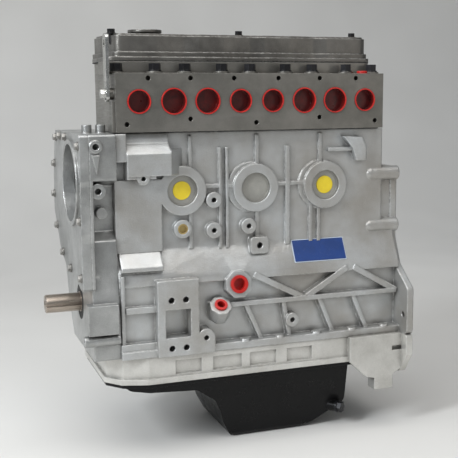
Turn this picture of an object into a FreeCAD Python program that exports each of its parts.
import FreeCAD, Part
import math
import os

# A four-cylinder in-line diesel engine, as a bare unit: block, head, ladder frame, sump,
# timing case, crank train, camshaft and valve gear. All sizes are in millimetres.
# Frame: the origin is the centre of the crankshaft's rear flange face, on the crank axis.
# +X runs along the crankshaft towards the rear, -Y is the manifold side, +Z is up.

V = FreeCAD.Vector
AXIS_X, AXIS_Y, AXIS_Z = V(1, 0, 0), V(0, 1, 0), V(0, 0, 1)

# Running gap of moving pieces, and the hair's breadth between fixed pieces that lie in each other
running_gap = 0.3
fixed_gap = 0.05

# Crank train
cylinders = 4
bore = 90.5
stroke = 97.0
rod_length = 175.4
crown_height = 57.5
deck_gap = 2.6
bore_pitch = 112.0
main_radius = 31.75
pin_radius = 29.0
main_length = 28.0
pin_length = 44.0
shell_wall = 2.0
bearing_width = 24.0
web_radius = 40.0
counterweight_radius = 78.0
nose_radius = 15.3
nose_length = 101.0
seal_land_radius = 17.0
sprocket_seat_radius = 19.0
palm_radius = 42.0
palm_bolt_circle = 62.0
palm_bolt_count = 8
palm_hole_radius = 4.25
palm_hole_depth = 20.0
spigot_radius = 11.0

# Pistons and rods
skirt_below_pin = 35.0
crown_thickness = 16.0
piston_wall = 7.0
gudgeon_radius = 15.0
gudgeon_length = 74.0
ring_width = 2.5
ring_depth = 3.6
ring_places = (8.0, 16.0, 24.0)
bowl_radius = 24.0
bowl_depth = 12.0
pocket_depth = 5.0
big_end_width = 38.0
small_end_width = 30.0
big_end_wall = 10.0
rod_bolt_offset = 37.0
rod_bolt_radius = 4.5

# Block
block_length = 510.0
flange_proud = 4.0
first_bore = 68.0
liner_wall = 7.75
jacket_gap = 29.0
casting_wall = 10.0
far_wall_y = 108.0
upper_length = 476.5
rear_flange_thickness = 12.0
wall_foot_z = 98.0
skirt_shoulder_z = 53.0
joint_z = -74.0
skirt_y = 115.0
skirt_base_y = 104.0
rail_y = 125.0
rib_face_y = 118.0
crankcase_margin = 7.0
cap_half_width = 54.0
cap_depth = 52.0
main_bolt_offset = 42.0
main_bolt_radius = 5.5
seal_outer_radius = 54.0
core_plug_radius = 25.0
core_plug_drop = 94.0
core_boss_radius = 40.0
core_plug_first = 111.0
core_plug_pitch = 127.0
brass_radius = 8.5
brass_z = 128.0

# Engine-mount pad, oil ports and rear flange of the block
mount_hole_radius = 5.0
mount_spacing_x = 24.0
mount_spacing_z = 79.0
mount_face_y = -130.0
mount_first = 93.0
mount_z = -21.5
bell_hole_radius = 5.5
bell_half_span = 138.0
bell_low_z = -40.0
bell_lug_drop = 79.0
bell_lug_rise = 15.0
bell_lug_y = -84.0
bell_lug_radius = 12.5

# Camshaft and valve gear
cam_y = 82.0
cam_z = 105.0
cam_journal_radius = 26.0
cam_base_radius = 17.5
cam_lift = 8.0
cam_nose_radius = 7.0
cam_tunnel_radius = 30.0
cam_lobe_width = 15.0
cam_bolt_radius = 5.0
follower_radius = 11.0
follower_length = 42.0
pushrod_radius = 4.0
pushrod_hole_radius = 9.0
ball_radius = 4.5
cup_radius = 9.0
valve_y = -6.0
valve_spread = 22.0
valve_stem_radius = 4.0
inlet_valve_radius = 18.5
exhaust_valve_radius = 16.5
rocker_swing = 0.2
rocker_axis_y = 40.0
rocker_axis_rise = 33.0
rocker_shaft_radius = 9.0
rocker_width = 18.0
spring_radius = 14.5
spring_wire = 3.6
spring_turns = 5

# Head and rocker cover
gasket_thickness = 1.5
head_height = 91.5
head_length = 464.0
head_setback = 3.0
manifold_y = 110.0
head_far_y = 106.0
head_chamfer_x = 34.0
head_chamfer_y = 60.0
rail_near_y = 64.0
rail_far_y = 104.0
rail_height = 19.0
chamber_depth = 20.0
port_drop = 44.0
port_spread = 28.0
small_port_radius = 19.0
large_port_radius = 21.0
port_mouth_depth = 20.0
runner_radius = 15.0
cover_height = 40.0
cover_wall = 4.0
cover_flange = 6.0
stud_hole_radius = 4.0
stud_hole_depth = 18.0
head_bolt_radius = 5.5
head_bolt_reach = 60.0
head_bolt_boss = 3.0
head_bolt_shift = 5.0
eye_y = -92.0
eye_drop = 32.0
filler_x = -436.0
filler_y = -4.0
filler_rise = 6.0
cover_stud_y = -30.0
cover_stud_radius = 4.0

# Timing gear
belt_width = 25.0
tooth_pitch = 9.525
crank_teeth = 24
belt_thickness = 3.0
belt_setback = 9.5
case_depth = 42.0
cover_depth = 15.0
case_wall = 5.0
tensioner_radius = 28.0
tensioner_post_radius = 8.0
tensioner_y = -34.0
tensioner_z = 116.0
pump_opening_radius = 62.0
pump_opening_y = -44.0
pump_opening_drop = 79.0
front_seal_radius = 30.0

# Ladder frame and sump
frame_depth = 44.0
frame_wall = 12.0
frame_front = 20.0
sump_sheet = 2.5
sump_flange = 5.0
sump_floor_z = -247.0
sump_half_width = 94.0
sump_floor_half_width = 72.0
sump_rear_gap = 10.0
drain_x = -111.0
drain_y = -95.5
drain_z = -211.4
drain_turn = 53.0
drain_radius = 6.0
gusset_inner_y = 127.0
gusset_outer_y = 134.0

# Places worked out from the sizes above
throw = stroke / 2
bore_radius = bore / 2
deck_z = throw + rod_length + crown_height + deck_gap
rear_x = -flange_proud
front_x = rear_x - block_length
cyl_x = [front_x + first_bore + bore_pitch * i for i in range(cylinders)]
main_x = [cyl_x[0] + bore_pitch * (i - 0.5) for i in range(cylinders + 1)]
throw_sign = [1, -1, -1, 1]
saddle_radius = main_radius + running_gap + shell_wall
liner_radius = bore_radius + liner_wall
near_wall_y = liner_radius + jacket_gap + casting_wall
crank_bolt_half = rod_bolt_offset + rod_bolt_radius + 1.5
crankcase_radius = throw + crank_bolt_half + crankcase_margin
crankcase_half = crankcase_radius - 3
head_z = deck_z + gasket_thickness
head_top = head_z + head_height
rocker_axis_z = head_top + rocker_axis_rise
core_plug_z = deck_z - core_plug_drop
pump_opening_z = deck_z - pump_opening_drop
bell_lug_z = (deck_z - bell_lug_drop, wall_foot_z + bell_lug_rise)
rail_top = head_top + rail_height
cover_z = rail_top + gasket_thickness
cover_top = cover_z + cover_height
head_front = front_x + head_setback
head_rear = head_front + head_length
port_z = head_top - port_drop
chamber_floor = head_top - chamber_depth
valve_x = [x + side * valve_spread for x in cyl_x for side in (-1, 1)]
port_x = [x + side * port_spread for x in cyl_x for side in (-1, 1)]
large_port = [False, True, True, False, False, True, True, False]
port_radius = [large_port_radius if big else small_port_radius for big in large_port]
valve_radius = [inlet_valve_radius if big else exhaust_valve_radius for big in large_port]
valve_arm = rocker_axis_y - valve_y
push_arm = cam_y - rocker_axis_y
valve_lift = rocker_swing * valve_arm
push_lift = rocker_swing * push_arm
follower_z = cam_z + cam_base_radius + cam_lift + running_gap + 0.2
case_front = front_x - case_depth
cover_front = case_front - cover_depth
sprocket_rear = front_x - belt_setback
sprocket_front = sprocket_rear - belt_width - 1
crank_sprocket_radius = crank_teeth * tooth_pitch / (2 * math.pi)
cam_sprocket_radius = 2 * crank_sprocket_radius
frame_bottom = joint_z - frame_depth
sump_top = frame_bottom - gasket_thickness
sump_rear_x = rear_x - rear_flange_thickness - sump_rear_gap


def box(x0, x1, y0, y1, z0, z1):
    """A box between two corners."""
    low = V(min(x0, x1), min(y0, y1), min(z0, z1))
    return Part.makeBox(abs(x1 - x0), abs(y1 - y0), abs(z1 - z0), low)


def rod_x(x0, x1, y, z, r):
    """A round bar along X."""
    return Part.makeCylinder(r, abs(x1 - x0), V(min(x0, x1), y, z), AXIS_X)


def rod_y(y0, y1, x, z, r):
    """A round bar along Y."""
    return Part.makeCylinder(r, abs(y1 - y0), V(x, min(y0, y1), z), AXIS_Y)


def rod_z(z0, z1, x, y, r):
    """A round bar along Z."""
    return Part.makeCylinder(r, abs(z1 - z0), V(x, y, min(z0, z1)), AXIS_Z)


def cone_z(z0, z1, x, y, r0, r1):
    """A cone along Z, with radius r0 at z0 and r1 at z1."""
    return Part.makeCone(r0, r1, z1 - z0, V(x, y, z0), AXIS_Z)


def ring_x(x0, x1, y, z, outer, inner):
    """A plain ring whose axis lies along X."""
    return rod_x(x0, x1, y, z, outer).cut(rod_x(min(x0, x1) - 1, max(x0, x1) + 1, y, z, inner))


def ring_z(z0, z1, x, y, outer, inner):
    """A plain ring whose axis lies along Z."""
    return rod_z(z0, z1, x, y, outer).cut(rod_z(min(z0, z1) - 1, max(z0, z1) + 1, x, y, inner))


def fuse(shapes):
    """One solid from touching shapes."""
    return shapes[0].multiFuse(shapes[1:]).removeSplitter() if len(shapes) > 1 else shapes[0]


def cut(shape, tools):
    """A shape less a list of tools."""
    return shape.cut(tools)


def outline(points, radius=0.0):
    """A closed wire through 3-D points, its corners rounded where the sides leave room."""
    edges, count = [], len(points)
    pts = [V(*p) for p in points]
    ends = []
    for i, corner in enumerate(pts):
        before = pts[i - 1].sub(corner)
        after = pts[(i + 1) % count].sub(corner)
        turn = before.getAngle(after)
        room = 0.45 * min(before.Length, after.Length)
        reach = min(radius / math.tan(turn / 2), room) if radius and turn < 3.1 else 0.0
        if reach < 0.05:
            ends.append((corner, None, corner))
            continue
        before.normalize()
        after.normalize()
        half = before.add(after)
        half.normalize()
        r = reach * math.tan(turn / 2)
        middle = corner.add(half.multiply(r / math.sin(turn / 2) - r))
        ends.append((corner.add(before.multiply(reach)), middle, corner.add(after.multiply(reach))))
    for i, (start, middle, stop) in enumerate(ends):
        if middle is not None:
            edges.append(Part.Arc(start, middle, stop).toShape())
        following = ends[(i + 1) % count][0]
        if stop.distanceToPoint(following) > 1e-6:
            edges.append(Part.LineSegment(stop, following).toShape())
    return Part.Wire(edges)


def prism_x(yz, x0, x1, radius=0.0):
    """A prism along X from an outline of (y, z) points."""
    face = Part.Face(outline([(x0, y, z) for y, z in yz], radius))
    return face.extrude(V(x1 - x0, 0, 0))


def prism_y(xz, y0, y1, radius=0.0):
    """A prism along Y from an outline of (x, z) points."""
    face = Part.Face(outline([(x, y0, z) for x, z in xz], radius))
    return face.extrude(V(0, y1 - y0, 0))


def prism_z(xy, z0, z1, radius=0.0):
    """A prism along Z from an outline of (x, y) points."""
    face = Part.Face(outline([(x, y, z0) for x, y in xy], radius))
    return face.extrude(V(0, 0, z1 - z0))


def hexagon_z(x, y, z0, z1, across_flats):
    """A hexagonal prism along Z."""
    r = across_flats / math.sqrt(3)
    corners = [(x + r * math.cos(math.radians(60 * k)), y + r * math.sin(math.radians(60 * k)))
               for k in range(6)]
    return prism_z(corners, z0, z1)


def hexagon_x(x0, x1, y, z, across_flats):
    """A hexagonal prism along X."""
    r = across_flats / math.sqrt(3)
    corners = [(y + r * math.cos(math.radians(60 * k)), z + r * math.sin(math.radians(60 * k)))
               for k in range(6)]
    return prism_x(corners, x0, x1)


def circle_hull(circles, at, margin=0.0):
    """A wire in the YZ plane round circles (y, z, r) that are listed anticlockwise."""
    edges, joints = [], []
    count = len(circles)
    for i in range(count):
        y0, z0, r0 = circles[i]
        y1, z1, r1 = circles[(i + 1) % count]
        span = math.hypot(y1 - y0, z1 - z0)
        angle = math.atan2(z1 - z0, y1 - y0) - math.acos((r0 - r1) / span)
        touch = [(y0 + (r0 + margin) * math.cos(angle), z0 + (r0 + margin) * math.sin(angle)),
                 (y1 + (r1 + margin) * math.cos(angle), z1 + (r1 + margin) * math.sin(angle))]
        joints.append((angle, touch))
    for i in range(count):
        y, z, r = circles[i]
        came, left = joints[i - 1][0], joints[i][0]
        while left < came:
            left += 2 * math.pi
        middle = (came + left) / 2
        start, stop = joints[i - 1][1][1], joints[i][1][0]
        mid = (y + (r + margin) * math.cos(middle), z + (r + margin) * math.sin(middle))
        edges.append(Part.Arc(V(at, *start), V(at, *mid), V(at, *stop)).toShape())
        edges.append(Part.LineSegment(V(at, *stop), V(at, *joints[i][1][1])).toShape())
    return Part.Wire(edges)


def hull_prism(circles, x0, x1, margin=0.0):
    """A prism along X round a set of circles."""
    return Part.Face(circle_hull(circles, x0, margin)).extrude(V(x1 - x0, 0, 0))


def flanged_bolt_z(x, y, seat_z, up, shank, length, head_flats, head_height_, flange_radius):
    """A flanged hexagon bolt whose head points up (1) or down (-1) from its seat."""
    flange = rod_z(seat_z, seat_z + up * 2.2, x, y, flange_radius)
    head = hexagon_z(x, y, seat_z, seat_z + up * head_height_, head_flats)
    body = rod_z(seat_z - up * length, seat_z, x, y, shank)
    return fuse([head, flange, body])


def flanged_bolt_x(x, y, z, shank, length, head_flats, head_height_, flange_radius):
    """A flanged hexagon bolt whose head points forward (-X) from its seat."""
    head = hexagon_x(x, x - head_height_, y, z, head_flats)
    flange = rod_x(x - 2, x, y, z, flange_radius)
    return fuse([head, flange, rod_x(x, x + length, y, z, shank)])


def save(name, solids):
    """Write one node's solids to its file."""
    shape = solids[0] if len(solids) == 1 else Part.makeCompound(solids)
    shape.exportStep("parts/" + name + ".step")


def web(x0, x1, sign):
    """A crank web with its counterweight; sign says whether the pin points up or down."""
    arm = hull_prism([(0, 0, web_radius), (0, sign * throw, web_radius - 2)], x0, x1)
    weight = rod_x(x0, x1, 0, 0, counterweight_radius)
    low, high = (-counterweight_radius, -8) if sign > 0 else (8, counterweight_radius)
    weight = weight.common(box(x0, x1, -62, 62, low, high))
    return arm.fuse(weight)


def crankshaft():
    """The crankshaft, with its nose to the front and its palm to the rear."""
    half_main, half_pin = main_length / 2, pin_length / 2
    pieces = [rod_x(max(x - half_main, front_x), x + half_main, 0, 0, main_radius)
              for x in main_x]
    for x, sign in zip(cyl_x, throw_sign):
        pieces.append(rod_x(x - half_pin, x + half_pin, 0, sign * throw, pin_radius))
        pieces.append(web(x - bore_pitch / 2 + half_main, x - half_pin, sign))
        pieces.append(web(x + half_pin, x + bore_pitch / 2 - half_main, sign))
    seat_end = sprocket_front
    pieces.append(rod_x(seat_end, main_x[0], 0, 0, sprocket_seat_radius))
    pieces.append(rod_x(front_x - nose_length, main_x[0], 0, 0, nose_radius))
    pieces.append(rod_x(case_front - 1, seat_end, 0, 0, seal_land_radius))
    pieces.append(rod_x(main_x[-1] + half_main, 0, 0, 0, palm_radius))
    shaft = fuse(pieces)
    tools = [rod_x(-palm_hole_depth, 1, 0, 0, spigot_radius)]
    for k in range(palm_bolt_count):
        angle = 2 * math.pi * k / palm_bolt_count
        y, z = palm_bolt_circle / 2 * math.cos(angle), palm_bolt_circle / 2 * math.sin(angle)
        tools.append(rod_x(-palm_hole_depth, 1, y, z, palm_hole_radius))
    tools.append(box(front_x - nose_length - 1, seat_end - 4, -nose_radius - 1,
                     -nose_radius + 3.5, -3, 3))
    tools.append(box(sprocket_front - 1, sprocket_rear + 1, -sprocket_seat_radius - 1,
                     -sprocket_seat_radius + 4, -3, 3))
    tools.append(rod_x(front_x - nose_length - 1, front_x - nose_length + 32, 0, 0, 6))
    shaft = cut(shaft, tools)
    tip = front_x - nose_length
    rim = [e for e in shaft.Edges if abs(e.BoundBox.XMin - tip) < 1e-3
           and abs(e.BoundBox.XMax - tip) < 1e-3 and e.BoundBox.ZLength > 2 * nose_radius - 1]
    return shaft.makeChamfer(1.5, rim) if rim else shaft


def sprocket(y, z, radius, teeth, seat, key_slot):
    """A toothed belt sprocket with its seat bored out and a slot for a key."""
    wheel = rod_x(sprocket_front, sprocket_rear, y, z, radius)
    tools = [rod_x(sprocket_front - 1, sprocket_rear + 1, y, z, seat)]
    for k in range(teeth):
        angle = 2 * math.pi * k / teeth
        cy, cz = y + radius * math.cos(angle), z + radius * math.sin(angle)
        tools.append(rod_x(sprocket_front - 1, sprocket_rear + 1, cy, cz, 2.2))
    if key_slot:
        tools.append(box(sprocket_front - 1, sprocket_rear + 1, y - seat - 3, y - seat + 1,
                         z - 3, z + 3))
    return cut(wheel, tools)


def crank_sprocket():
    """The crank sprocket and its key."""
    wheel = sprocket(0, 0, crank_sprocket_radius, crank_teeth, sprocket_seat_radius, True)
    key = box(sprocket_front, sprocket_rear, -sprocket_seat_radius - 2.9,
              -sprocket_seat_radius + 3.9, -2.9, 2.9)
    return [wheel, key]


def cam_lobe(x, angle):
    """One cam lobe, its nose turned by angle from straight up."""
    reach = cam_base_radius + cam_lift - cam_nose_radius
    ny, nz = cam_y - reach * math.sin(angle), cam_z + reach * math.cos(angle)
    circles = [(cam_y, cam_z, cam_base_radius), (ny, nz, cam_nose_radius)]
    return hull_prism(circles, x - cam_lobe_width / 2, x + cam_lobe_width / 2)


def camshaft():
    """The camshaft, with five journals and eight lobes."""
    front = sprocket_front - 4
    pieces = [rod_x(front, main_x[-1] + bearing_width / 2, cam_y, cam_z, 14)]
    journal = cam_journal_radius - running_gap
    for x in main_x:
        pieces.append(rod_x(x - bearing_width / 2, x + bearing_width / 2, cam_y, cam_z, journal))
    firing = [0, 270, 90, 180]
    for i, x in enumerate(cyl_x):
        for side, lag in ((-1, -55), (1, 55)):
            if large_port[2 * i + (side > 0)]:
                lag = abs(lag)
            else:
                lag = -abs(lag)
            angle = math.radians(firing[i] + lag + 180)
            pieces.append(cam_lobe(x + side * valve_spread, angle))
    hole = rod_x(front - 1, front + 26, cam_y, cam_z, cam_bolt_radius + fixed_gap)
    return [cut(fuse(pieces), [hole])]


def cam_sprocket():
    """The camshaft sprocket, lightened by five round windows."""
    wheel = sprocket(cam_y, cam_z, cam_sprocket_radius, 2 * crank_teeth, 14, False)
    tools = []
    for k in range(5):
        angle = 2 * math.pi * k / 5
        y, z = cam_y + 43 * math.cos(angle), cam_z + 43 * math.sin(angle)
        tools.append(rod_x(sprocket_front - 1, sprocket_rear + 1, y, z, 15))
    bolt = flanged_bolt_x(sprocket_front - 4, cam_y, cam_z, cam_bolt_radius, 24, 17, 8, 12)
    return [cut(wheel, tools), bolt]


def timing_belt():
    """The belt, a closed band round both sprockets and the tensioner pulley."""
    circles = [(0, 0, crank_sprocket_radius), (cam_y, cam_z, cam_sprocket_radius),
               (tensioner_y, tensioner_z, tensioner_radius)]
    x0, x1 = sprocket_front + 0.5, sprocket_rear - 0.5
    band = hull_prism(circles, x0, x1, running_gap + belt_thickness)
    return [band.cut(hull_prism(circles, x0 - 1, x1 + 1, running_gap))]


def tensioner_pulley():
    """The tensioner's plain pulley, bored for its post on the case."""
    wheel = rod_x(sprocket_front, sprocket_rear, tensioner_y, tensioner_z, tensioner_radius)
    post = tensioner_post_radius + running_gap
    groove = ring_x(sprocket_front, sprocket_front + 3, tensioner_y, tensioner_z,
                    tensioner_radius - 5, tensioner_post_radius + 6)
    return [cut(wheel, [rod_x(sprocket_front - 1, sprocket_rear + 1, tensioner_y, tensioner_z,
                              post), groove])]


def piston(i):
    """One piston with its rings, gudgeon pin and circlips, at its place at rest."""
    x = cyl_x[i]
    pin_z = throw_sign[i] * throw + rod_length
    top, bottom = pin_z + crown_height, pin_z - skirt_below_pin
    radius = bore_radius - running_gap
    body = rod_z(bottom, top, x, 0, radius)
    hollow = rod_z(bottom - 1, top - crown_thickness, x, 0, radius - piston_wall)
    rod_slot = box(x - small_end_width / 2 - 2, x + small_end_width / 2 + 2, -bore, bore,
                   bottom - 1, top - crown_thickness)
    bosses = fuse([rod_x(x - radius, x + radius, 0, pin_z, gudgeon_radius + 7)]).common(
        rod_z(bottom, top, x, 0, radius - 1))
    bosses = bosses.cut(rod_slot)
    body = body.cut(hollow).fuse(bosses)
    pockets = [rod_z(top - pocket_depth, top + 1, valve_x[k], valve_y, valve_radius[k] + 1.5)
               for k in (2 * i, 2 * i + 1)]
    tools = pockets + [rod_z(top - bowl_depth, top + 1, x, 0, bowl_radius),
                       rod_x(x - bore, x + bore, 0, pin_z, gudgeon_radius + fixed_gap)]
    rings = []
    for place in ring_places:
        z1 = top - place
        z0 = z1 - ring_width
        tools.append(ring_z(z0, z1, x, 0, radius + 1, radius - ring_depth))
        ring = ring_z(z0 + 0.02, z1 - 0.02, x, 0, radius, radius - ring_depth + 0.3)
        gap = box(x + radius - 6, x + radius + 2, -0.4, 0.4, z0 - 1, z1 + 1)
        rings.append(ring.cut(gap))
    body = cut(body, tools)
    pin = ring_x(x - gudgeon_length / 2, x + gudgeon_length / 2, 0, pin_z, gudgeon_radius, 8)
    clips = []
    for side in (-1, 1):
        x0 = x + side * (gudgeon_length / 2 + 0.02)
        clips.append(ring_x(x0, x0 + side * 1.5, 0, pin_z, gudgeon_radius, gudgeon_radius - 2))
    return [body] + rings + [pin] + clips


def conrod(i):
    """One connecting rod: rod, cap, bearing shells, small-end bush and two cap bolts."""
    x = cyl_x[i]
    big_z = throw_sign[i] * throw
    pin_z = big_z + rod_length
    half = big_end_width / 2
    inner = pin_radius + running_gap
    shell_outer = inner + shell_wall
    outer = shell_outer + big_end_wall
    lug = crank_bolt_half
    eye = rod_x(x - small_end_width / 2, x + small_end_width / 2, 0, pin_z, gudgeon_radius + 7)
    ring = rod_x(x - half, x + half, 0, big_z, outer - 3)
    lugs = box(x - half + 4, x + half - 4, -lug, lug, big_z - 17, big_z + 17)
    shank = prism_x([(-17, big_z + 25), (17, big_z + 25), (11, pin_z - 10), (-11, pin_z - 10)],
                    x - 11, x + 11)
    whole = fuse([ring, lugs, shank, eye])
    flutes = [prism_x([(-11, big_z + outer + 8), (11, big_z + outer + 8), (6, pin_z - 28),
                       (-6, pin_z - 28)], x + side * 4, x + side * 12, 3) for side in (-1, 1)]
    bolt_holes = [rod_z(big_z - 18, big_z + 18, x, side * rod_bolt_offset,
                        rod_bolt_radius + fixed_gap) for side in (-1, 1)]
    seats = [rod_z(big_z - 30, big_z - 17, x, side * rod_bolt_offset, 8) for side in (-1, 1)]
    tools = [rod_x(x - 40, x + 40, 0, big_z, shell_outer),
             rod_x(x - 40, x + 40, 0, pin_z, gudgeon_radius + 2)] + flutes + bolt_holes + seats
    whole = cut(whole, tools)
    upper = whole.common(box(x - 40, x + 40, -80, 80, big_z + 0.02, pin_z + 60))
    cap = whole.common(box(x - 40, x + 40, -80, 80, big_z - 80, big_z - 0.02))
    bush = ring_x(x - small_end_width / 2, x + small_end_width / 2, 0, pin_z,
                  gudgeon_radius + 2, gudgeon_radius + running_gap)
    shells = ring_x(x - half + 2, x + half - 2, 0, big_z, shell_outer, inner)
    shell_up = shells.common(box(x - 40, x + 40, -80, 80, big_z + 0.02, big_z + 80))
    shell_low = shells.common(box(x - 40, x + 40, -80, 80, big_z - 80, big_z - 0.02))
    bolts = []
    for side in (-1, 1):
        y = side * rod_bolt_offset
        nut = hexagon_z(x, y, big_z - 23, big_z - 17, 13).common(
            box(x - 20, x + 20, -lug, lug, big_z - 30, big_z))
        bolts.append(fuse([rod_z(big_z - 23, big_z + 17, x, y, rod_bolt_radius), nut]))
    return [upper, cap, bush, shell_up, shell_low] + bolts


def main_bearing_caps():
    """Five bearing caps; the rear one also closes the crankshaft seal's housing."""
    caps = []
    half = bearing_width / 2
    for i, x in enumerate(main_x):
        last = i == len(main_x) - 1
        x1 = rear_x if last else x + half
        y = seal_outer_radius + 8 if last else cap_half_width
        z = joint_z if last else -cap_depth
        block = prism_x([(-y, 0), (-y, z + 3), (-y + 3, z), (y - 3, z), (y, z + 3), (y, 0)],
                        x - half, x1) if not last else box(x - half, x1, -y, y, z, 0)
        tools = [rod_x(x - half - 1, x + half + 1, 0, 0, saddle_radius)]
        for side in (-1, 1):
            tools.append(rod_z(z - 1, 1, x, side * main_bolt_offset,
                               main_bolt_radius + fixed_gap))
            if last:
                tools.append(rod_z(z - 1, -cap_depth, x, side * main_bolt_offset, 10.5))
        if last:
            tools.append(rod_x(x + half, x1 + 1, 0, 0, seal_outer_radius))
        caps.append(cut(block, tools))
    return caps


def main_bearing_shells():
    """Upper and lower half shells of the five main bearings."""
    shells = []
    for x in main_x:
        ring = ring_x(x - 11, x + 11, 0, 0, saddle_radius, main_radius + running_gap)
        shells.append(ring.common(box(x - 20, x + 20, -60, 60, 0.02, 60)))
        shells.append(ring.common(box(x - 20, x + 20, -60, 60, -60, -0.02)))
    return shells


def main_cap_bolts():
    """Two bolts for each main bearing cap."""
    return [flanged_bolt_z(x, side * main_bolt_offset, -cap_depth, -1, main_bolt_radius,
                           cap_depth + 45, 16, 12, 9.5)
            for x in main_x for side in (-1, 1)]


def crankcase_profile():
    """The outer section of the block's lower half, seen along X."""
    return [(-near_wall_y, wall_foot_z + 10), (-near_wall_y, wall_foot_z),
            (-skirt_y, skirt_shoulder_z), (-skirt_y, skirt_shoulder_z - 12),
            (-skirt_base_y, skirt_shoulder_z - 14), (-skirt_base_y, joint_z + 12),
            (-rail_y, joint_z + 12), (-rail_y, joint_z), (rail_y, joint_z),
            (rail_y, joint_z + 12), (far_wall_y + 2, joint_z + 12), (far_wall_y + 2, 40),
            (cam_y + cam_tunnel_radius + 7, 74), (cam_y + cam_tunnel_radius + 7, wall_foot_z + 10)]


def upper_profile():
    """The outer section of the block's upper half, with the camshaft gallery on the far side."""
    gallery = cam_y + cam_tunnel_radius + 7
    return [(-near_wall_y, deck_z), (-near_wall_y, wall_foot_z), (gallery, wall_foot_z),
            (gallery, cam_z + cam_tunnel_radius + 4), (far_wall_y, cam_z + 60),
            (far_wall_y, deck_z)]


def boss_y(x, z, r, y_face, hole, depth=18.0, y_root=None):
    """A round boss on the near side that stands out to y_face, and the tool for its hole."""
    root = -near_wall_y + 2 if y_root is None else y_root
    return rod_y(y_face, root, x, z, r), rod_y(y_face - 1, y_face + depth, x, z, hole)


def core_plug_x():
    """Where the three core plugs stand along the block."""
    return [front_x + core_plug_first + core_plug_pitch * i for i in range(3)]


def near_wall_bosses():
    """Cast bosses, ribs and pads of the block's upper near side, and the tools of their holes."""
    solids, tools = [], []
    wall = -near_wall_y + 1
    face = -near_wall_y - 8
    plugs = core_plug_x()
    upper_ribs = ((0, 14.5, 6), (1, 3, 7), (2, -8.5, 7))
    lower_ribs = ((0, 14.5, 6), (1, 3, 7), (2, -11, 6), (2, -26, 6))
    for x in plugs:
        solids.append(rod_y(face, wall, x, core_plug_z, core_boss_radius))
    for x in plugs[1:]:
        solids.append(rod_y(face + 5, wall, x - 7, core_plug_z + 1, core_boss_radius + 2))
    for i, offset, width in upper_ribs:
        x = plugs[i] + offset
        solids.append(box(x - width / 2, x + width / 2, face + 4, wall, core_plug_z, deck_z - 6))
    for i, offset, width in lower_ribs:
        x = plugs[i] + offset
        solids.append(box(x - width / 2, x + width / 2, face + 4, wall, wall_foot_z - 4, core_plug_z))
    for d, width in ((176, 5), (188, 5), (296, 8)):
        x = front_x + d
        solids.append(box(x - width / 2, x + width / 2, face + 3, wall, wall_foot_z - 6, deck_z - 26))
    for d0, d1 in ((146, 178), (188, 204), (272, 298), (298, 330)):
        solids.append(box(front_x + d0, front_x + d1, face + 4, wall, core_plug_z + 2, core_plug_z + 8))
    for d, z, r in ((163, core_plug_z - 17, 13), (163, core_plug_z - 67, 13),
                    (224, core_plug_z - 63, 13)):
        solid, tool = boss_y(front_x + d, z, r, face - 3, 4.2)
        solids.append(solid)
        tools.append(tool)
    pad_x, pad_z = front_x + 242, wall_foot_z - 4
    solids.append(prism_y([(pad_x - 16, pad_z - 14), (pad_x + 16, pad_z - 14),
                           (pad_x + 16, pad_z + 14), (pad_x - 16, pad_z + 14)],
                          -near_wall_y - 14, wall, 5))
    tools.append(rod_y(-near_wall_y - 16, -near_wall_y + 4, pad_x, pad_z, 5.2))
    solid, tool = boss_y(front_x + 110, brass_z, 15, face - 2, brass_radius, 12)
    solids.append(solid)
    tools.append(tool)
    return solids, tools


def bulge_and_lugs():
    """The stepped bulge behind the timing case, its tab, the flat wall and the rear lugs."""
    x0 = front_x
    wall = -near_wall_y + 1
    section = [(wall, deck_z - 0.5), (-near_wall_y - 6, deck_z - 0.5),
               (-near_wall_y - 10, deck_z - 16), (-near_wall_y - 26, deck_z - 32),
               (-near_wall_y - 26, deck_z - 67), (wall, deck_z - 67)]
    solids = [prism_x(section, x0 + 17, x0 + 88)]
    solids.append(box(x0, x0 + 17, -near_wall_y - 22, wall, deck_z - 44, deck_z - 0.5))
    solids.append(prism_z([(x0 + 88, -near_wall_y - 26), (x0 + 114, wall), (x0 + 88, wall)],
                          deck_z - 67, deck_z - 26))
    solids.append(box(x0 + 17, x0 + 64, -near_wall_y - 23, wall, deck_z - 72, deck_z - 60))
    tab_x, tab_z = x0 + 43, deck_z - 71
    solids.append(box(tab_x - 10, tab_x + 10, -near_wall_y - 24, wall, tab_z, tab_z + 17))
    solids.append(rod_y(-near_wall_y - 24, wall, tab_x, tab_z, 10))
    tools = [rod_y(-near_wall_y - 25, wall - 6, tab_x, tab_z, 3.6)]
    solids.append(box(x0, x0 + 76, -near_wall_y - 8, wall, wall_foot_z - 4, deck_z - 74))
    solids.append(box(x0 + 370, x0 + 416, -near_wall_y - 7, wall, deck_z - 37, deck_z - 31))
    lug_x = x0 + 405
    solids.append(prism_y([(lug_x - 10, deck_z - 12), (lug_x + 26, deck_z - 14),
                           (lug_x + 34, deck_z - 30), (lug_x + 34, deck_z - 54),
                           (lug_x + 16, deck_z - 54), (lug_x + 8, deck_z - 32)],
                          -near_wall_y - 14, wall))
    for z in bell_lug_z:
        solids.append(rod_x(x0 + 456, rear_x, bell_lug_y, z, bell_lug_radius))
        solids.append(Part.makeSphere(bell_lug_radius, V(x0 + 456, bell_lug_y, z)))
        tools.append(rod_x(rear_x - 30, rear_x + 1, bell_lug_y, z, bell_hole_radius))
    return solids, tools


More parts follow.
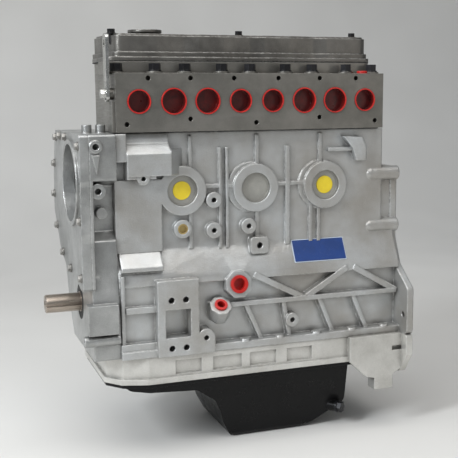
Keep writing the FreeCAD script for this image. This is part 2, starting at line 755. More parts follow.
def skirt_ribs():
    """Ribs, pockets, bolt seats and pads of the block's lower near side."""
    face, base = -rib_face_y, -skirt_base_y + 1
    rib_z = 0.0
    solids, tools = [], []
    start, end = front_x + 150, rear_x - 14
    solids.append(box(start, end, face, base, rib_z - 4, rib_z + 4))

    def sloping(xa, za, xb, zb, width):
        dx, dz = xb - xa, zb - za
        length = math.hypot(dx, dz)
        ux, uz = -dz / length * width / 2, dx / length * width / 2
        corners = [(xa + ux, za + uz), (xb + ux, zb + uz), (xb - ux, zb - uz), (xa - ux, za - uz)]
        return prism_y(corners, face + 2, base)

    top = skirt_shoulder_z - 6
    for xa, xb in ((228, 320), (400, 320), (412, 495)):
        solids.append(sloping(front_x + xa, top, front_x + xb, rib_z, 10))
    for xa, xb in ((212, 241), (280, 292), (346, 373), (410, 438)):
        solids.append(sloping(front_x + xa, rib_z, front_x + xb, joint_z + 10, 7))
    seat_z = joint_z + 12
    for d in (210, 272, 340, 407, 470):
        solids.append(rod_z(seat_z - 2, seat_z + 3, front_x + d, -rib_face_y, 8))
    solid, tool = boss_y(front_x + 295, -35, 12, face - 3, 4.2, 18, base)
    solids.append(solid)
    tools.append(tool)
    return solids, tools


def engine_mount_pad():
    """The engine-mount pad: two plates round a window, with four threaded holes."""
    base = -skirt_base_y + 1
    x = front_x + mount_first
    solids = [box(x - 35, x + 34, mount_face_y, base, mount_z + 24, mount_z + 72),
              box(x - 35, x + 34, mount_face_y, base, joint_z, mount_z - 22),
              box(x - 35, x - 22, mount_face_y, base, mount_z - 30, mount_z + 30),
              box(x + 20, x + 34, mount_face_y, base, mount_z - 30, mount_z + 30)]
    side = x + 46
    solids.append(rod_y(mount_face_y, base, side, mount_z - 27, 15))
    solids.append(box(x + 30, side + 15, mount_face_y, base, mount_z - 52, mount_z - 27))
    tools = [rod_y(mount_face_y - 1, mount_face_y + 18, side, mount_z - 27, 4.2)]
    for sx in (-1, 1):
        for sz in (-1, 1):
            tools.append(rod_y(mount_face_y - 1, mount_face_y + 20, x + sx * mount_spacing_x / 2,
                               mount_z + sz * mount_spacing_z / 2, mount_hole_radius))
    return solids, tools


def oil_port_axes():
    """Place, outward direction, pad, bore and cap radius of the two oil ports on the near side."""
    return [((front_x + 198.7, -rib_face_y - 4, 34.4), (0.0, -1.0, 0.12), 24.0, 12.0, 15.0),
            ((front_x + 166, -rib_face_y - 6, 2.0), (0.0, -1.0, 1.2), 19.0, 8.5, 10.7)]


def oil_port_pad(place, out, radius, depth):
    """An eight-sided pad that faces outwards."""
    across = V(AXIS_X)
    along = out.cross(across)
    points = []
    for k in range(8):
        angle = math.radians(22.5 + 45 * k)
        step = V(across).multiply(radius * math.cos(angle))
        points.append(place.add(step).add(V(along).multiply(radius * math.sin(angle))))
    face = Part.Face(Part.makePolygon(points + points[:1]))
    return face.extrude(V(out).multiply(-depth))


def oil_ports():
    """Pads of the oil ports with their bores."""
    solids, tools = [], []
    for (x, y, z), direction, radius, port_bore, _ in oil_port_axes():
        out = V(*direction)
        out.normalize()
        at = V(x, y, z)
        solids.append(oil_port_pad(at, out, radius, 26))
        tools.append(Part.makeCylinder(port_bore, 40, at.sub(V(out).multiply(16)), out))
    return solids, tools


def stepped_corner():
    """The stepped face of the block between the timing case and the mount pad."""
    base = -skirt_base_y + 1
    x0, x1 = front_x, front_x + 62
    solids = [box(x0, x1, -112, base, joint_z, 60)]
    solids.append(prism_x([(-near_wall_y, wall_foot_z + 4), (-skirt_y - 3, 72), (-skirt_y - 3, 66),
                           (base, 60)], x0 + 4, front_x + 72))
    solids.append(box(x0 + 9, x1, -121, base, -1, 9))
    solids.append(box(x0, x1 + 2, -122, base, joint_z, -50))
    solids.append(box(x0 + 2, x0 + 8, -119, base, -50, 60))
    return solids


def far_side_features():
    """Ribs, the oil filter pad and the pump flange pads on the camshaft side."""
    gallery = cam_y + cam_tunnel_radius + 7
    solids = []
    for x in main_x[1:-1]:
        solids.append(box(x - 4, x + 4, far_wall_y - 2, far_wall_y + 8, wall_foot_z + 40, deck_z - 12))
        solids.append(box(x - 4, x + 4, far_wall_y, rail_y - 4, joint_z + 6, 60))
    pad_x, pad_z = front_x + 330, 20.0
    solids.append(rod_y(far_wall_y, gallery + 10, pad_x, pad_z, 42))
    tools = [rod_y(gallery - 6, gallery + 11, pad_x, pad_z, 9)]
    for d in (90, 180):
        solids.append(rod_y(far_wall_y - 2, far_wall_y + 10, front_x + d, deck_z - 40, 12))
        tools.append(rod_y(far_wall_y - 4, far_wall_y + 11, front_x + d, deck_z - 40, 5))
    return solids, tools


def bellhousing_outline():
    """The rear flange's outline, narrow above and wide below."""
    top = deck_z - 68
    return [(-86, top), (-86, 90), (-106, 44), (-152, 8), (-152, joint_z), (152, joint_z),
            (152, 8), (118, 60), (118, 150), (90, top)]


def cylinder_block():
    """The cylinder block with its bores, jacket, bearing saddles and camshaft tunnel."""
    solids = [prism_x(upper_profile(), front_x, front_x + upper_length),
              prism_x(crankcase_profile(), front_x, rear_x - 9),
              box(front_x + upper_length - 5, rear_x, -84, far_wall_y - 6, wall_foot_z,
                  deck_z - 84),
              prism_x(bellhousing_outline(), rear_x - rear_flange_thickness, rear_x, 10)]
    tools = []
    for group in (near_wall_bosses(), bulge_and_lugs(), skirt_ribs(), engine_mount_pad(),
                  oil_ports(), far_side_features()):
        solids += group[0]
        tools += group[1]
    solids += stepped_corner()
    half = bearing_width / 2
    for x in cyl_x:
        tools.append(rod_z(0, deck_z + 1, x, 0, bore_radius))
        tools.append(rod_x(x - bore_pitch / 2 + half, x + bore_pitch / 2 - half, 0, 0,
                           crankcase_radius))
    tools.append(box(main_x[0] + half, main_x[-1] - half, -crankcase_half, crankcase_half,
                     joint_z - 1, 0))
    slot = cap_half_width + fixed_gap
    tools.append(box(front_x - 1, main_x[0] + half + 1, -slot, slot, joint_z - 1, 0))
    wide = seal_outer_radius + 8 + fixed_gap
    tools.append(box(main_x[-1] - half - 1, rear_x + 1, -wide, wide, joint_z - 1, 0))
    tools.append(rod_x(main_x[-1] + half, rear_x + 1, 0, 0, seal_outer_radius))
    for x in main_x:
        tools.append(rod_x(x - half - 1, x + half + 1, 0, 0, saddle_radius))
        tools.append(rod_x(x - half - 1, x + half + 1, cam_y, cam_z, cam_journal_radius))
        for side in (-1, 1):
            tools.append(rod_z(-1, 46, x, side * main_bolt_offset, main_bolt_radius + fixed_gap))
    for x in cyl_x:
        tools.append(rod_x(x - bore_pitch / 2 + half, x + bore_pitch / 2 - half, cam_y, cam_z,
                           cam_tunnel_radius))
    for x in valve_x:
        tools.append(rod_z(cam_z, follower_z + follower_length + 14, x, cam_y, follower_radius))
        tools.append(rod_z(cam_z, deck_z + 1, x, cam_y, pushrod_hole_radius))
    for x in core_plug_x():
        tools.append(rod_y(-near_wall_y - 9, -liner_radius, x, core_plug_z, core_plug_radius))
    for x, y in head_bolt_places():
        tools.append(rod_z(deck_z - head_bolt_reach - 3, deck_z + 1, x, y,
                           head_bolt_radius + fixed_gap))
    for side in (-1, 1):
        tools.append(rod_x(rear_x - 30, rear_x + 1, side * bell_half_span, bell_low_z,
                           bell_hole_radius))
    body = cut(fuse(solids), tools)
    return [cut(body, [water_jacket()])]


def water_jacket():
    """The coolant space round the liners."""
    low, high = wall_foot_z + 38, deck_z - 14
    space = box(cyl_x[0] - liner_radius - 6, cyl_x[-1] + liner_radius + 6,
                -near_wall_y + casting_wall, liner_radius + 6, low, high)
    posts = [rod_z(low - 1, high + 1, x, 0, liner_radius) for x in cyl_x]
    posts += [rod_z(low - 1, high + 1, x, y, head_bolt_radius + 5) for x, y in head_bolt_places()]
    return cut(space, posts)


def head_bolt_places():
    """Places of the head bolts: one row on the ledge, one inside the rocker chamber."""
    places = [(x, -78.0) for x in main_x]
    places += [(x + head_bolt_shift, -83.0) for x in cyl_x]
    places += [(x, 66.0) for x in main_x[1:-1]] + [(x, 68.0) for x in cyl_x]
    places.append((main_x[-1] - 24, 64.0))
    return places


def head_bolts():
    """Flanged hexagon bolts of the head."""
    bolts = []
    for x, y in head_bolt_places():
        seat = head_top + head_bolt_boss if y < 0 else chamber_floor
        length = seat - deck_z + head_bolt_reach
        bolts.append(flanged_bolt_z(x, y, seat, 1, head_bolt_radius, length, 17, 12.5, 10.5))
    return bolts


def stud_holes():
    """Places of the manifold's threaded holes, as distances behind the head's front and levels."""
    upper = [(d, head_top - 8) for d in (52, 121, 194, 271, 345, 412)]
    lower = [(17, head_top - 79), (120, head_top - 72), (232, head_top - 79),
             (345, head_top - 72), (449, head_top - 79)]
    return upper + lower


def cylinder_head():
    """The cylinder head: manifold face, ports, valve guides and rocker chamber."""
    corner = [(head_front, -manifold_y), (head_rear, -manifold_y), (head_rear, head_far_y),
              (head_front + head_chamfer_x, head_far_y), (head_front, head_far_y - head_chamfer_y)]
    lower = prism_z(corner, head_z, head_top)
    rail = prism_z([(head_front + 2, -rail_near_y), (head_rear, -rail_near_y),
                    (head_rear, rail_far_y), (head_front + head_chamfer_x - 4, rail_far_y),
                    (head_front + 2, rail_far_y - head_chamfer_y + 17)],
                   head_top - 12, rail_top, 14)
    lump = box(head_front - 8, head_front + 12, -rail_near_y, -rail_near_y + 40,
               head_top - 2, rail_top)
    rib = prism_z([(head_front - 5, -manifold_y + 3), (head_front + 2, -manifold_y + 3),
                   (head_front + 2, -manifold_y + 26), (head_front - 5, -manifold_y + 26)],
                  head_z, head_z + 48)
    boss = rod_x(head_front - 7, head_front + 2, eye_y, head_top - eye_drop, 9)
    seats = [rod_z(head_top - 2, head_top + head_bolt_boss, x, y, 13)
             for x, y in head_bolt_places() if y < 0]
    body = fuse([lower, rail, lump, rib, boss] + seats)
    tools = [prism_z([(head_front + 10, -rail_near_y + 12), (head_rear - 20, -rail_near_y + 12),
                      (head_rear - 20, rail_far_y - 6),
                      (head_front + head_chamfer_x, rail_far_y - 6),
                      (head_front + 10, rail_far_y - head_chamfer_y + 11)],
                     chamber_floor, rail_top + 1, 8),
             rod_x(head_front - 8, head_front + 14, eye_y, head_top - eye_drop, 4 + fixed_gap)]
    for x, px, r, vr in zip(valve_x, port_x, port_radius, valve_radius):
        mouth = -manifold_y + port_mouth_depth
        tools.append(rod_y(-manifold_y - 1, mouth, px, port_z, r))
        tools.append(rod_y(mouth - 2, valve_y, px, port_z, runner_radius))
        tools.append(rod_z(head_z + 7, port_z, x, valve_y, vr - 3))
        tools.append(cone_z(head_z + 3.9, head_z + 7.1, x, valve_y, vr, vr - 3))
        tools.append(rod_z(head_z - 1, head_z + 4, x, valve_y, vr + 0.6))
        tools.append(rod_z(port_z, chamber_floor + 20, x, valve_y, valve_stem_radius + running_gap))
        tools.append(rod_z(head_z - 1, chamber_floor + 1, x, cam_y, pushrod_hole_radius))
    guides = []
    for x in valve_x:
        guides.append(ring_z(port_z + 12, chamber_floor + 12, x, valve_y, 7.5,
                             valve_stem_radius + running_gap))
    for d, z in stud_holes():
        tools.append(rod_y(-manifold_y - 1, -manifold_y + stud_hole_depth, head_front + d, z,
                           stud_hole_radius))
    for x, y in head_bolt_places():
        seat = head_top + head_bolt_boss if y < 0 else chamber_floor
        tools.append(rod_z(head_z - 1, seat + 1, x, y, head_bolt_radius + fixed_gap))
    for x in pedestal_x():
        tools.append(rod_z(chamber_floor - 22, chamber_floor + 1, x, rocker_axis_y, 4 + fixed_gap))
    body = cut(body, tools)
    return [fuse([body] + guides)]


def gaskets_and_seals():
    """Head, cover and sump gaskets with the two crankshaft seals."""
    head_sheet = box(head_front, head_rear, -near_wall_y - 2, head_far_y - 2, deck_z, head_z)
    head_sheet = head_sheet.cut(prism_z([(head_front - 1, head_far_y + 1),
                                         (head_front + head_chamfer_x + 3, head_far_y + 1),
                                         (head_front - 1, head_far_y - head_chamfer_y - 4)],
                                        deck_z - 1, head_z + 1))
    tools = [rod_z(deck_z - 1, head_z + 1, x, 0, bore_radius + 0.6) for x in cyl_x]
    tools += [rod_z(deck_z - 1, head_z + 1, x, y, head_bolt_radius + 0.6)
              for x, y in head_bolt_places()]
    tools += [rod_z(deck_z - 1, head_z + 1, x, cam_y, pushrod_hole_radius) for x in valve_x]
    head_sheet = cut(head_sheet, tools)
    cover_sheet = cover_plate(rail_top, cover_z, 0.0).cut(cover_plate(rail_top - 1, cover_z + 1, -9.0))
    joint = frame_plan(0.0, sump_top, frame_bottom, sump_rear_x)
    joint = joint.cut(frame_cavity(sump_top - 1, frame_bottom + 1))
    front_seal = ring_x(case_front, case_front + case_wall, 0, 0, front_seal_radius,
                        seal_land_radius + running_gap)
    rear_seal = ring_x(rear_x - 12, rear_x - 1, 0, 0, seal_outer_radius, palm_radius + running_gap)
    return [head_sheet, cover_sheet, joint, front_seal, rear_seal]


def cover_plate(z0, z1, grow):
    """A slab of the rocker cover's plan, grown outwards by a margin."""
    g = grow
    return prism_z([(head_front - 2 - g, -rail_near_y + 2 - g),
                    (head_rear + 2 + g, -rail_near_y + 2 - g),
                    (head_rear + 2 + g, rail_far_y - 2 + g),
                    (head_front + head_chamfer_x - 6 - g, rail_far_y - 2 + g),
                    (head_front - 2 - g, rail_far_y - head_chamfer_y + 14)], z0, z1, 14 + g)


def cover_body(z0, z1, inset):
    """The scalloped body of the rocker cover, inset from its plan."""
    x0, x1 = head_front + 2 + inset, head_rear - 2 - inset
    y0, y1 = -rail_near_y + 8 + inset, rail_far_y - 5 - inset
    bays, dip = 4, 4.0
    step = (x1 - x0) / bays
    points = []
    for i in range(bays):
        points += [(x0 + step * i + 12, y0 + (dip if i else 0)), (x0 + step * (i + 0.5) - 22, y0),
                   (x0 + step * (i + 0.5) + 22, y0)]
    points += [(x1, y0 + 2), (x1, y1 - 2), (x1 - 10, y1)]
    points += [(x0 + head_chamfer_x - 6, y1), (x0, y1 - head_chamfer_y + 20)]
    return prism_z(points, z0, z1, 18)


def rocker_cover():
    """The cast rocker cover: flange, ridge, scalloped body and a flared filler neck."""
    flange = cover_plate(cover_z, cover_z + cover_flange, 0.0)
    ridge = cover_body(cover_z, cover_z + 14, -3.0)
    body = cover_body(cover_z, cover_top, 0.0)
    crown = cover_body(cover_top - 0.1, cover_top + 3, 3.0)
    neck = cone_z(cover_top, cover_top + filler_rise, filler_x, filler_y, 12, 20)
    base = rod_z(cover_top - 2, cover_top + 3, filler_x, filler_y, 17)
    shell = fuse([flange, ridge, body, crown, neck, base])
    tools = [cover_body(cover_z - 1, cover_top - cover_wall, cover_wall),
             rod_z(cover_top - 10, cover_top + 8, filler_x, filler_y, 9)]
    for x in cover_stud_x():
        tools.append(rod_z(cover_top - 14, cover_top + 6, x, cover_stud_y,
                           cover_stud_radius + fixed_gap))
    return [cut(shell, tools)]


def cover_stud_x():
    """Where the three rocker cover nuts stand."""
    return [head_front + 13, head_front + 231, head_front + 443]


def oil_filler_cap():
    """The screwed oil filler cap, a shallow disc on a short spigot."""
    z = cover_top + filler_rise
    disc = rod_z(z + 1, z + 5.5, filler_x, filler_y, 28)
    dish = cone_z(z - 1.5, z + 1, filler_x, filler_y, 21, 28).cut(
        rod_z(z - 3, z + 0.05, filler_x, filler_y, 21.5))
    plug = rod_z(z - 12, z + 1, filler_x, filler_y, 9 - running_gap)
    return [fuse([disc, dish, plug])]


def cover_bolts():
    """Rocker cover nuts, timing cover bolts and the main bearing cap bolts."""
    pieces = []
    for x in cover_stud_x():
        z = cover_top + 3
        nut = fuse([hexagon_z(x, cover_stud_y, z, z + 8, 11),
                    rod_z(z, z + 1.6, x, cover_stud_y, 8),
                    rod_z(cover_top - 12, z, x, cover_stud_y, cover_stud_radius)])
        pieces.append(nut)
    for y, z in timing_bolt_places():
        pieces.append(flanged_bolt_x(cover_front, y, z, 3, cover_depth + case_wall - 0.5, 10, 6, 7))
    return pieces + main_cap_bolts()


def timing_bolt_places():
    """Where the timing cover is screwed to the case."""
    return [(-108, deck_z - 18), (-108, 150), (-106, 60), (6, deck_z - 8), (58, deck_z - 8),
            (102, deck_z - 12), (130, deck_z - 59), (140, 170), (118, 116), (62, 76), (-10, 60)]


def case_outline():
    """The timing case, seen along X."""
    return [(-118, deck_z), (-118, deck_z - 72), (-86, deck_z - 80), (-84, 130), (-104, 116),
            (-110, 56), (-118, -20), (-118, joint_z), (70, joint_z), (112, -20), (132, 30),
            (165, 80), (165, 150), (146, deck_z - 84), (128, deck_z - 24), (112, deck_z)]


def cover_outline():
    """The timing cover, seen along X: it leaves the crankshaft's end of the case open."""
    return [(-118, deck_z), (-118, deck_z - 72), (-116, deck_z - 80), (-116, 130), (-114, 116),
            (-116, 40), (-96, 40), (-50, 52), (30, 52), (92, 78), (150, 140),
            (146, deck_z - 84), (128, deck_z - 24), (112, deck_z)]


def inset_outline(points, gap):
    """An outline moved inwards by a gap, by way of a planar offset."""
    wire = outline([(0, y, z) for y, z in points])
    shrunk = Part.Face(wire).makeOffset2D(-gap)
    return shrunk


def case_cavity(points, gap, x0, x1):
    """A prism along X inside an outline."""
    face = inset_outline(points, gap)
    shape = face.extrude(V(x1 - x0, 0, 0))
    shape.translate(V(x0, 0, 0))
    return shape


def timing_case():
    """The timing case: back plate, side walls, near-side bosses and the crank seal's seat."""
    near = -118
    solids = [prism_x(case_outline(), case_front, front_x, 5),
              prism_x(cover_outline(), case_front, case_front + case_wall, 5)]
    solids.append(box(front_x - 52, front_x - 4, near - 10, -104, -29, 18))
    solids.append(rod_x(front_x - 58, front_x - 1, near + 2, -40, 9))
    solids.append(rod_y(near - 3, -80, front_x - 32, deck_z - 19, 10))
    solids.append(rod_y(near + 3, -80, front_x - 29, deck_z - 88, 12))
    solids.append(rod_y(-100, -80, front_x - 21, deck_z - 124, 9))
    solids.append(prism_y([(front_x - 38, deck_z - 32), (front_x - 26, deck_z - 32),
                           (front_x - 31, deck_z - 62)],
                          near - 3, near + 2))
    for dx in (34, 12):
        solids.append(rod_z(deck_z - 4, deck_z + 13, front_x - dx, -60, 8))
    body = fuse(solids)
    inner = case_cavity(case_outline(), case_wall + 1, case_front + case_wall, front_x - 5)
    window = case_cavity(cover_outline(), case_wall + 5, case_front - 1, case_front + case_wall + 1)
    tools = [inner, window.common(case_cavity(case_outline(), case_wall + 4, case_front - 1,
                                              case_front + case_wall + 1))]
    tools += [rod_x(case_front - 1, case_front + case_wall + 8, 0, 0, front_seal_radius),
              rod_x(front_x - 6, front_x + 1, 0, 0, sprocket_seat_radius + 8),
              rod_x(front_x - 6, front_x + 1, cam_y, cam_z, 15),
              rod_y(near - 4, near + 14, front_x - 32, deck_z - 19, 5),
              rod_y(near + 2, near + 22, front_x - 29, deck_z - 88, 5),
              rod_x(front_x - 59, front_x - 30, near + 2, -40, 4)]
    for dx in (34, 12):
        tools.append(rod_z(deck_z, deck_z + 14, front_x - dx, -60, 5))
    for y, z in timing_bolt_places():
        tools.append(rod_x(case_front - 1, case_front + 13, y, z, 3 + fixed_gap))
    body = cut(body, tools)
    post = rod_x(sprocket_front - 1, front_x - 4, tensioner_y, tensioner_z, tensioner_post_radius)
    return [fuse([body, post])]


def timing_cover():
    """The timing cover with its round coolant pump opening."""
    body = prism_x(cover_outline(), cover_front, case_front, 6)
    inner = case_cavity(cover_outline(), case_wall + 1, cover_front + 4, case_front + 1)
    opening = rod_x(cover_front - 6, case_front + 1, pump_opening_y, pump_opening_z,
                    pump_opening_radius)
    tools = [inner, opening]
    lugs = [rod_x(cover_front, case_front, y, z, 8) for y, z in timing_bolt_places()]
    lugs.append(rod_x(cover_front - 5, case_front, pump_opening_y, pump_opening_z,
                      pump_opening_radius + 7))
    holes = [rod_x(cover_front - 1, case_front + 1, y, z, 3 + fixed_gap)
             for y, z in timing_bolt_places()]
    body = fuse([cut(body, tools)] + lugs)
    return [cut(body, holes + [opening])]


def frame_plan(grow, z0, z1, rear):
    """A slab of the ladder frame's plan with its rounded front end."""
    front = front_x - frame_front - grow
    half = rail_y + grow
    points = [(rear, -half), (front + 62, -half), (front + 22, -half + 14), (front, -half + 42),
              (front, half - 42), (front + 22, half - 14), (front + 62, half), (rear, half)]
    return prism_z(points, z0, z1, 4)


def frame_cavity(z0, z1):
    """The open inside of the ladder frame."""
    half = crankcase_half
    front = front_x - frame_front + frame_wall
    rear = main_x[-1] - bearing_width / 2 - 0.5
    points = [(rear, -half), (front + 62, -half), (front + 22, -half + 14),
              (front, -half + 42), (front, half - 42), (front + 22, half - 14),
              (front + 62, half), (rear, half)]
    return prism_z(points, z0, z1, 16)


def ladder_frame():
    """The ladder frame with cross members, a lip below and the rear gussets with their lugs."""
    solids = [frame_plan(-2.0, frame_bottom, joint_z, rear_x),
              frame_plan(2.0, frame_bottom, frame_bottom + 9, rear_x)]
    gusset = [(rear_x - 112, frame_bottom), (rear_x - 80, -147), (rear_x - 64, -151),
              (rear_x - 64, -172), (rear_x - 28, -172), (rear_x - 28, -148), (rear_x, -131),
              (rear_x, joint_z), (rear_x - 112, joint_z)]
    for side in (-1, 1):
        solids.append(prism_y(gusset, side * gusset_inner_y, side * gusset_outer_y))
        solids.append(box(rear_x - 112, rear_x, side * 120, side * gusset_outer_y,
                          frame_bottom, joint_z))
        solids.append(box(rear_x - 64, rear_x - 28, side * 110, side * gusset_outer_y, -172, -152))
    plate = [(-152, joint_z), (-152, -110), (-128, -146), (128, -146), (152, -110), (152, joint_z)]
    solids.append(prism_x(plate, rear_x - rear_flange_thickness, rear_x, 8))
    body = fuse(solids)
    tools = [frame_cavity(frame_bottom - 1, joint_z + 1)]
    panel_y = -rail_y - 3
    for d0, d1 in ((88, 132), (152, 202), (217, 264), (284, 330)):
        tools.append(box(front_x + d0, front_x + d1, panel_y, -rail_y + 6, frame_bottom + 12,
                         joint_z - 9))
    tools.append(rod_x(rear_x - 30, rear_x + 1, -bell_half_span + 8, -100, bell_hole_radius))
    tools.append(rod_x(rear_x - 30, rear_x + 1, bell_half_span - 8, -100, bell_hole_radius))
    tools.append(rod_z(-173, -151, rear_x - 46, -120, 4.2))
    body = cut(body, tools)
    members = [box(x - 8, x + 8, -crankcase_half - 2, crankcase_half + 2, frame_bottom + 4, -92)
               for x in (main_x[1], main_x[3])]
    return [fuse([body] + members)]


def sump_solid(inset, top):
    """The sump's outer form, or its hollow when inset by the sheet."""
    t = inset
    floor = sump_floor_z + t
    front, rear = front_x + 8 + t, rear_x - 96 - t
    profile = [(front - 12, top), (front, -128 + t), (front + 12, -137 + t),
               (front + 45, -144 + t), (front_x + 134, -149 + t),
               (front_x + 167 + t, -172 + t), (front_x + 178 + t, -195),
               (front_x + 184 + t, -216), (front_x + 200 + t, floor), (front_x + 320, floor),
               (front_x + 354 - t, -238 + t), (front_x + 386 - t, -220 + t),
               (rear, -206 + t), (rear, top)]
    side = prism_y(profile, -rail_y, rail_y, 16)
    half, low = sump_half_width - t, sump_floor_half_width - t
    section = prism_x([(-half, top), (-half + 2, -140), (-low, floor), (low, floor),
                       (half - 2, -140), (half, top)], front - 20, rear + 20, 12)
    return side.common(section)


def drain_place(shape):
    """Moves a shape from the X axis to the drain plug's axis, which is turned outwards."""
    placed = shape.copy()
    placed.rotate(V(0, 0, 0), AXIS_Z, -drain_turn)
    placed.translate(V(drain_x, drain_y, drain_z))
    return placed


def oil_sump():
    """The pressed oil sump: flange, shallow front and deep rear well."""
    flange = frame_plan(-1.0, sump_top - sump_flange, sump_top, sump_rear_x)
    body = fuse([flange, sump_solid(0.0, sump_top - 0.1)])
    drain = drain_place(rod_x(-42, -12, 0, 0, 10))
    body = fuse([body, drain])
    body = cut(body, [sump_solid(sump_sheet, sump_top + 1)])
    return [cut(body, [drain_place(rod_x(-54, -11, 0, 0, drain_radius + fixed_gap))])]


def drain_plug():
    """The drain plug with its sealing washer."""
    plug = fuse([rod_x(-32, -10, 0, 0, drain_radius), rod_x(-10, -7.5, 0, 0, 10.5),
                 hexagon_x(-7.5, 0, 0, 0, 17)])
    washer = ring_x(-12, -10, 0, 0, 10, drain_radius)
    return [drain_place(plug), drain_place(washer)]


def oil_pickup():
    """The oil pick-up pipe and its strainer, hung from the third main bearing cap."""
    x = main_x[2]
    pipe = [rod_z(-205, -cap_depth, x, 0, 8), rod_z(-214, -204, x, 0, 26)]
    body = fuse(pipe)
    return [cut(body, [rod_z(-215, -cap_depth - 4, x, 0, 5.5), rod_z(-215, -208, x, 0, 23)])]


def valve(k):
    """One valve with its spring retainer and collets."""
    x, r = valve_x[k], valve_radius[k]
    face = head_z + 1.0
    tip = rocker_axis_z - 7
    disc = rod_z(face, face + 2, x, valve_y, r)
    cone = cone_z(face + 2, face + 14, x, valve_y, r, valve_stem_radius)
    stem = rod_z(face + 8, tip, x, valve_y, valve_stem_radius)
    body = fuse([disc, cone, stem])
    keeper = ring_z(tip - 9, tip - 4, x, valve_y, 7, valve_stem_radius)
    collar = ring_z(tip - 9, tip - 5, x, valve_y, spring_radius + 2.5, 7)
    return [body, collar, keeper]


def valve_springs():
    """Eight valve springs, closed between their seats and retainers."""
    springs = []
    for x in valve_x:
        low, high = chamber_floor + 0.1, rocker_axis_z - 7 - 9 - running_gap
        height = high - low - spring_wire
        pitch = height / spring_turns
        helix = Part.makeHelix(pitch, height, spring_radius - spring_wire / 2)
        helix.translate(V(x, valve_y, low + spring_wire / 2))
        start = helix.Edges[0].Vertexes[0].Point
        circle = Part.Wire(Part.makeCircle(spring_wire / 2, start, AXIS_Y))
        springs.append(Part.Wire(helix.Edges).makePipeShell([circle], True, True))
    return springs


def pedestal_x():
    """Where the rocker pedestals stand."""
    return [main_x[0] + 14] + main_x[1:-1] + [cyl_x[-1]]


def rocker_gear():
    """The rocker shaft and its five pedestals."""
    pieces = []
    ends = pedestal_x()
    for x in ends:
        block = fuse([box(x - 10, x + 10, rocker_axis_y - 14, rocker_axis_y + 14, chamber_floor,
                          rocker_axis_z - 4),
                      rod_x(x - 10, x + 10, rocker_axis_y, rocker_axis_z, rocker_shaft_radius + 5)])
        block = cut(block, [rod_x(x - 11, x + 11, rocker_axis_y, rocker_axis_z,
                                  rocker_shaft_radius + fixed_gap),
                            rod_z(chamber_floor - 1, rocker_axis_z + 20, x, rocker_axis_y,
                                  4 + fixed_gap)])
        pieces.append(block)
    holes = [rod_z(rocker_axis_z - 20, rocker_axis_z + 20, x, rocker_axis_y, 4 + fixed_gap)
             for x in ends]
    shaft = rod_x(ends[0] - 12, valve_x[-1] + 12, rocker_axis_y, rocker_axis_z, rocker_shaft_radius)
    pieces.append(cut(shaft, holes))
    for x in ends:
        top = rocker_axis_z + rocker_shaft_radius + 5
        pieces.append(fuse([rod_z(chamber_floor - 20, top, x, rocker_axis_y, 4),
                            hexagon_z(x, rocker_axis_y, top, top + 5, 11)]))
    return pieces


def rocker(k):
    """One rocker with its adjusting screw and lock nut."""
    x = valve_x[k]
    half = rocker_width / 2
    hub = rod_x(x - half, x + half, rocker_axis_y, rocker_axis_z, rocker_shaft_radius + 6)
    nose_z = rocker_axis_z - 7 + running_gap + 0.1 + 6
    arm = prism_x([(rocker_axis_y, rocker_axis_z + 9), (valve_y + 2, nose_z + 4),
                   (valve_y - 2, nose_z), (valve_y + 6, nose_z - 4),
                   (rocker_axis_y, rocker_axis_z - 9)], x - 6, x + 6)
    pad = rod_x(x - 6, x + 6, valve_y, nose_z, 6)
    back = prism_x([(rocker_axis_y, rocker_axis_z + 9), (cam_y + 7, rocker_axis_z + 5),
                    (cam_y + 7, rocker_axis_z - 5), (rocker_axis_y, rocker_axis_z - 9)],
                   x - 6, x + 6)
    end = rod_z(rocker_axis_z - 6, rocker_axis_z + 6.5, x, cam_y, 8)
    body = fuse([hub, arm, pad, back, end])
    body = cut(body, [rod_x(x - half - 1, x + half + 1, rocker_axis_y, rocker_axis_z,
                            rocker_shaft_radius + running_gap),
                      rod_z(rocker_axis_z - 10, rocker_axis_z + 10, x, cam_y, 3.5 + fixed_gap)])
    screw = fuse([rod_z(rocker_axis_z - 10, rocker_axis_z + 12, x, cam_y, 3.5),
                  Part.makeSphere(ball_radius, V(x, cam_y, rocker_axis_z - 11))])
    nut = hexagon_z(x, cam_y, rocker_axis_z + 6.5, rocker_axis_z + 11, 11).cut(
        rod_z(rocker_axis_z, rocker_axis_z + 14, x, cam_y, 3.5))
    return [body, screw, nut]


def pushrod(k):
    """One pushrod with the follower that it stands in."""
    x = valve_x[k]
    radius = follower_radius - running_gap
    body = rod_z(follower_z, follower_z + follower_length, x, cam_y, radius)
    body = cut(body, [rod_z(follower_z + 10, follower_z + follower_length + 1, x, cam_y, 7)])
    top = rocker_axis_z - 11
    cup_floor = top - ball_radius - running_gap - 0.2
    rod = fuse([rod_z(follower_z + 10, cup_floor, x, cam_y, pushrod_radius),
                rod_z(cup_floor - 8, cup_floor + 3, x, cam_y, 7.5)])
    rod = cut(rod, [Part.makeSphere(cup_radius, V(x, cam_y, cup_floor + cup_radius))])
    return [body, rod]


def port_caps():
    """Plastic cups that close the eight manifold ports and the two oil ports."""
    caps = []
    for x, r in zip(port_x, port_radius):
        cup = rod_y(-manifold_y - 1.6, -manifold_y + 15, x, port_z, r - fixed_gap)
        hollow = rod_y(-manifold_y - 2, -manifold_y + 13, x, port_z, r - 2)
        caps.append(cup.cut(hollow))
    for (x, y, z), direction, _, port_bore, lip_radius in oil_port_axes():
        out = V(*direction)
        out.normalize()
        at = V(x, y, z)
        plug = Part.makeCylinder(port_bore - fixed_gap, 14, at.sub(V(out).multiply(12)), out)
        lip = Part.makeCylinder(lip_radius, 3, at, out)
        hollow = Part.makeCylinder(port_bore - 2, 18, at.sub(V(out).multiply(9)), out)
        caps.append(fuse([plug, lip]).cut(hollow))
    return caps


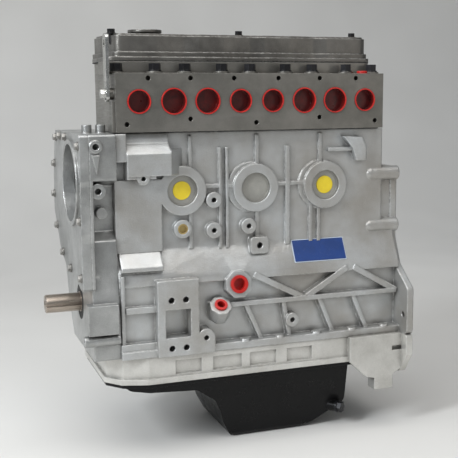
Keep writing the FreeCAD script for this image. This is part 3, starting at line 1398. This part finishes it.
def core_plugs():
    """Three dished core plugs in the near side of the block."""
    plugs = []
    for x in core_plug_x():
        y = -near_wall_y - 4
        cup = rod_y(y, y + 8, x, core_plug_z, core_plug_radius - fixed_gap)
        plugs.append(cup.cut(rod_y(y - 1, y + 2, x, core_plug_z, core_plug_radius - 2)))
    return plugs


def heat_tabs():
    """Round heat tabs glued to the first and the third core plug."""
    places = core_plug_x()
    y = -near_wall_y - 2
    return [rod_y(y - 1.2, y, x, core_plug_z, 15) for x in (places[0], places[2])]


def brass_plug():
    """The brass plug below the first core plug."""
    x, y = front_x + 110, -near_wall_y - 10
    cup = rod_y(y, y + 9, x, brass_z, brass_radius - fixed_gap)
    return [cup.cut(rod_y(y - 1, y + 3, x, brass_z, brass_radius - 2.5))]


def lifting_eye():
    """The lifting eye, a plate with a slot, screwed to the head's front."""
    x1 = head_front - 7
    z = head_top - eye_drop
    points = [(eye_y - 10, z - 12), (eye_y + 10, z - 12), (eye_y + 10.5, z + 92),
              (eye_y - 10.5, z + 92)]
    plate = prism_x(points, x1 - 5, x1, 8)
    plate = cut(plate, [rod_x(x1 - 6, x1 + 1, eye_y, z + 77, 6),
                        rod_x(x1 - 6, x1 + 1, eye_y, z, 4 + fixed_gap)])
    bolt = flanged_bolt_x(x1 - 5, eye_y, z, 4, 22, 13, 8, 9)
    return [plate, bolt]


def build():
    """Make every node and write it."""
    os.makedirs("parts", exist_ok=True)
    nodes = {
        "cylinder_block": cylinder_block, "main_bearing_caps": main_bearing_caps,
        "main_bearing_shells": main_bearing_shells, "crankshaft": lambda: [crankshaft()],
        "crank_sprocket": crank_sprocket, "camshaft": camshaft, "cam_sprocket": cam_sprocket,
        "timing_belt": timing_belt, "tensioner_pulley": tensioner_pulley,
        "cylinder_head": cylinder_head, "gaskets_and_seals": gaskets_and_seals,
        "head_bolts": head_bolts, "valve_springs": valve_springs, "rocker_gear": rocker_gear,
        "rocker_cover": rocker_cover, "oil_filler_cap": oil_filler_cap,
        "cover_and_cap_bolts": cover_bolts, "oil_pickup": oil_pickup, "port_caps": port_caps,
        "core_plugs": core_plugs, "heat_tabs": heat_tabs, "brass_plug": brass_plug,
        "timing_case": timing_case, "timing_cover": timing_cover, "ladder_frame": ladder_frame,
        "oil_sump": oil_sump, "drain_plug": drain_plug, "lifting_eye": lifting_eye}
    for name, make in nodes.items():
        save(name, make())
    for i in range(cylinders):
        save("piston_%d" % (i + 1), piston(i))
        save("connecting_rod_%d" % (i + 1), conrod(i))
    for k in range(2 * cylinders):
        save("valve_%d" % (k + 1), valve(k))
        save("rocker_%d" % (k + 1), rocker(k))
        save("pushrod_%d" % (k + 1), pushrod(k))


build()
